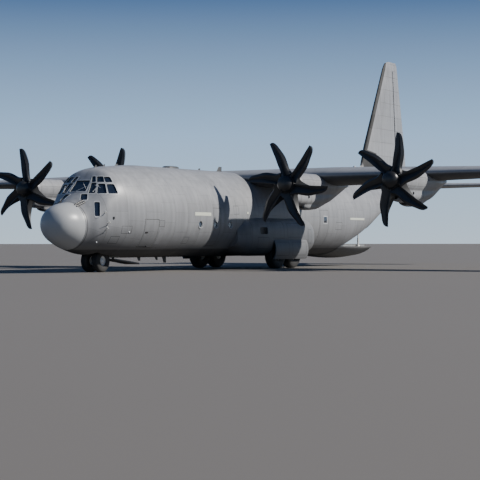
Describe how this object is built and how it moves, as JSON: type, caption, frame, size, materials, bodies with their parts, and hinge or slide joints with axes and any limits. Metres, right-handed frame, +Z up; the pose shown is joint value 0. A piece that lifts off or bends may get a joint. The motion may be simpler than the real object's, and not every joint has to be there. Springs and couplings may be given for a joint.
{
  "type": "1:2 scale model of a military transport plane",
  "caption": "High-wing four-engine turboprop transport plane on its landing gear, with a hollow cargo hold, lowered rear ramp and moving flight controls.",
  "frame": {"origin": "on the ground, midway along the length and on the centre plane", "axes": "+X to the plane's left wing tip (port), -Y towards the nose, +Z up"},
  "size_m": [20.205, 17.17, 5.92],
  "materials": {
    "airframe_paint": "satin mid grey paint on aluminium skin",
    "radome_paint": "smooth light grey rain-erosion coat",
    "spinner_paint": "dark satin",
    "blade_composite": "dark composite with satin paint",
    "tyre_rubber": "black rubber",
    "wheel_paint": "pale grey satin paint",
    "gear_paint": "off-white satin paint",
    "window_glass": "dark blue-grey laminated glass",
    "cockpit_trim": "matt grey-green interior paint",
    "floor_metal": "bare worn deck metal"
  },
  "bodies": {
    "airframe": {"center_wing": "airframe_paint", "outer_wing_left": "airframe_paint", "outer_wing_right": "airframe_paint", "tailplane": "airframe_paint", "radome": "radome_paint", "nose_section": "airframe_paint", "center_fuselage": "airframe_paint", "aft_fuselage": "airframe_paint", "fin": "airframe_paint", "cockpit_glazing": "window_glass", "flight_deck": "cockpit_trim", "cargo_floor": "floor_metal", "troop_door_left": "airframe_paint", "troop_door_right": "airframe_paint", "gear_fairing_left": "airframe_paint", "main_gear_door_left": "airframe_paint", "gear_fairing_right": "airframe_paint", "main_gear_door_right": "airframe_paint", "main_gear_legs_left": "gear_paint", "main_gear_legs_right": "gear_paint", "nose_gear_leg": "gear_paint", "nose_gear_door": "airframe_paint", "nacelle_port_outer": "airframe_paint", "nacelle_port_inner": "airframe_paint", "nacelle_starboard_inner": "airframe_paint", "nacelle_starboard_outer": "airframe_paint"},
    "propeller_port_outer_assembly": {"propeller_port_outer": "blade_composite", "spinner_port_outer": "spinner_paint"},
    "propeller_port_inner_assembly": {"propeller_port_inner": "blade_composite", "spinner_port_inner": "spinner_paint"},
    "propeller_starboard_inner_assembly": {"propeller_starboard_inner": "blade_composite", "spinner_starboard_inner": "spinner_paint"},
    "propeller_starboard_outer_assembly": {"propeller_starboard_outer": "blade_composite", "spinner_starboard_outer": "spinner_paint"},
    "nose_fork": {"nose_gear_fork": "gear_paint"},
    "nose_wheel_pair": {"nose_wheels": "wheel_paint", "nose_tyre_left": "tyre_rubber", "nose_tyre_right": "tyre_rubber"},
    "main_wheel_left_front_assembly": {"main_wheel_left_front": "wheel_paint", "main_tyre_left_front": "tyre_rubber"},
    "main_wheel_left_rear_assembly": {"main_wheel_left_rear": "wheel_paint", "main_tyre_left_rear": "tyre_rubber"},
    "main_wheel_right_front_assembly": {"main_wheel_right_front": "wheel_paint", "main_tyre_right_front": "tyre_rubber"},
    "main_wheel_right_rear_assembly": {"main_wheel_right_rear": "wheel_paint", "main_tyre_right_rear": "tyre_rubber"},
    "crew_door_leaf": {"crew_door": "airframe_paint"},
    "cargo_ramp_leaf": {"cargo_ramp": "airframe_paint"},
    "aft_cargo_door_leaf": {"aft_cargo_door": "airframe_paint"},
    "inner_flap_left_surface": {"inner_flap_left": "airframe_paint"},
    "inner_flap_right_surface": {"inner_flap_right": "airframe_paint"},
    "outer_flap_left_surface": {"outer_flap_left": "airframe_paint"},
    "outer_flap_right_surface": {"outer_flap_right": "airframe_paint"},
    "aileron_left_surface": {"aileron_left": "airframe_paint"},
    "aileron_right_surface": {"aileron_right": "airframe_paint"},
    "elevator_left_surface": {"elevator_left": "airframe_paint"},
    "elevator_right_surface": {"elevator_right": "airframe_paint"},
    "rudder_surface": {"rudder": "airframe_paint"}
  },
  "joints": [
    {"name": "propeller_port_outer_spin", "type": "hinge", "parent": "airframe", "child": "propeller_port_outer_assembly", "pos_m": [5.095, -3.065, 1.988], "axis": [0, 1, 0], "continuous": true},
    {"name": "propeller_port_inner_spin", "type": "hinge", "parent": "airframe", "child": "propeller_port_inner_assembly", "pos_m": [2.475, -3.065, 1.9465], "axis": [0, 1, 0], "continuous": true},
    {"name": "propeller_starboard_inner_spin", "type": "hinge", "parent": "airframe", "child": "propeller_starboard_inner_assembly", "pos_m": [-2.475, -3.065, 1.9465], "axis": [0, 1, 0], "continuous": true},
    {"name": "propeller_starboard_outer_spin", "type": "hinge", "parent": "airframe", "child": "propeller_starboard_outer_assembly", "pos_m": [-5.095, -3.065, 1.988], "axis": [0, 1, 0], "continuous": true},
    {"name": "nose_wheel_steering", "type": "hinge", "parent": "airframe", "child": "nose_fork", "pos_m": [0, -7, 0.24198], "axis": [0, 0, 1], "range_deg": [-60, 60]},
    {"name": "nose_wheel_spin", "type": "hinge", "parent": "nose_fork", "child": "nose_wheel_pair", "pos_m": [0, -7, 0.24198], "axis": [1, 0, 0], "continuous": true},
    {"name": "main_wheel_left_front_spin", "type": "hinge", "parent": "airframe", "child": "main_wheel_left_front_assembly", "pos_m": [1.085, -1.216, 0.34569], "axis": [1, 0, 0], "continuous": true},
    {"name": "main_wheel_left_rear_spin", "type": "hinge", "parent": "airframe", "child": "main_wheel_left_rear_assembly", "pos_m": [1.085, -0.454, 0.34569], "axis": [1, 0, 0], "continuous": true},
    {"name": "main_wheel_right_front_spin", "type": "hinge", "parent": "airframe", "child": "main_wheel_right_front_assembly", "pos_m": [-1.085, -1.216, 0.34569], "axis": [1, 0, 0], "continuous": true},
    {"name": "main_wheel_right_rear_spin", "type": "hinge", "parent": "airframe", "child": "main_wheel_right_rear_assembly", "pos_m": [-1.085, -0.454, 0.34569], "axis": [1, 0, 0], "continuous": true},
    {"name": "crew_door_hinge", "type": "hinge", "parent": "airframe", "child": "crew_door_leaf", "pos_m": [0.825, -6.35625, 0.5445], "axis": [0, 1, 0], "range_deg": [0, 105]},
    {"name": "cargo_ramp_hinge", "type": "hinge", "parent": "airframe", "child": "cargo_ramp_leaf", "pos_m": [0, 2.68, 0.4975], "axis": [1, 0, 0], "range_deg": [-15, 20]},
    {"name": "aft_cargo_door_hinge", "type": "hinge", "parent": "airframe", "child": "aft_cargo_door_leaf", "pos_m": [0, 5.96, 1.78], "axis": [1, 0, 0], "range_deg": [0, 29]},
    {"name": "inner_flap_left_hinge", "type": "hinge", "parent": "airframe", "child": "inner_flap_left_surface", "pos_m": [0.975, -0.0544, 2.17591], "axis": [1, 0, 0.0035], "range_deg": [-36, 0]},
    {"name": "inner_flap_right_hinge", "type": "hinge", "parent": "airframe", "child": "inner_flap_right_surface", "pos_m": [-0.975, -0.0544, 2.17591], "axis": [1, 0, -0.0035], "range_deg": [-36, 0]},
    {"name": "outer_flap_left_hinge", "type": "hinge", "parent": "airframe", "child": "outer_flap_left_surface", "pos_m": [2.825, -0.05681, 2.18239], "axis": [0.9968, -0.0802, 0.0035], "range_deg": [-36, 0]},
    {"name": "outer_flap_right_hinge", "type": "hinge", "parent": "airframe", "child": "outer_flap_right_surface", "pos_m": [-2.825, -0.05681, 2.18239], "axis": [0.9968, 0.0802, -0.0035], "range_deg": [-36, 0]},
    {"name": "aileron_left_hinge", "type": "hinge", "parent": "airframe", "child": "aileron_left_surface", "pos_m": [6.21, -0.3104, 2.19423], "axis": [0.9966, -0.0818, 0.0035], "range_deg": [-15, 25]},
    {"name": "aileron_right_hinge", "type": "hinge", "parent": "airframe", "child": "aileron_right_surface", "pos_m": [-6.21, -0.3104, 2.19423], "axis": [0.9966, 0.0818, -0.0035], "range_deg": [-15, 25]},
    {"name": "elevator_left_hinge", "type": "hinge", "parent": "airframe", "child": "elevator_left_surface", "pos_m": [0.48, 7.45931, 2.24], "axis": [0.9981, 0.0609, 0], "range_deg": [-15, 40]},
    {"name": "elevator_right_hinge", "type": "hinge", "parent": "airframe", "child": "elevator_right_surface", "pos_m": [-0.48, 7.45931, 2.24], "axis": [0.9981, -0.0609, 0], "range_deg": [-15, 40]},
    {"name": "rudder_hinge", "type": "hinge", "parent": "airframe", "child": "rudder_surface", "pos_m": [0, 7.74, 2.48], "axis": [0, -0.0536, 0.9986], "range_deg": [-35, 35]}
  ]
}
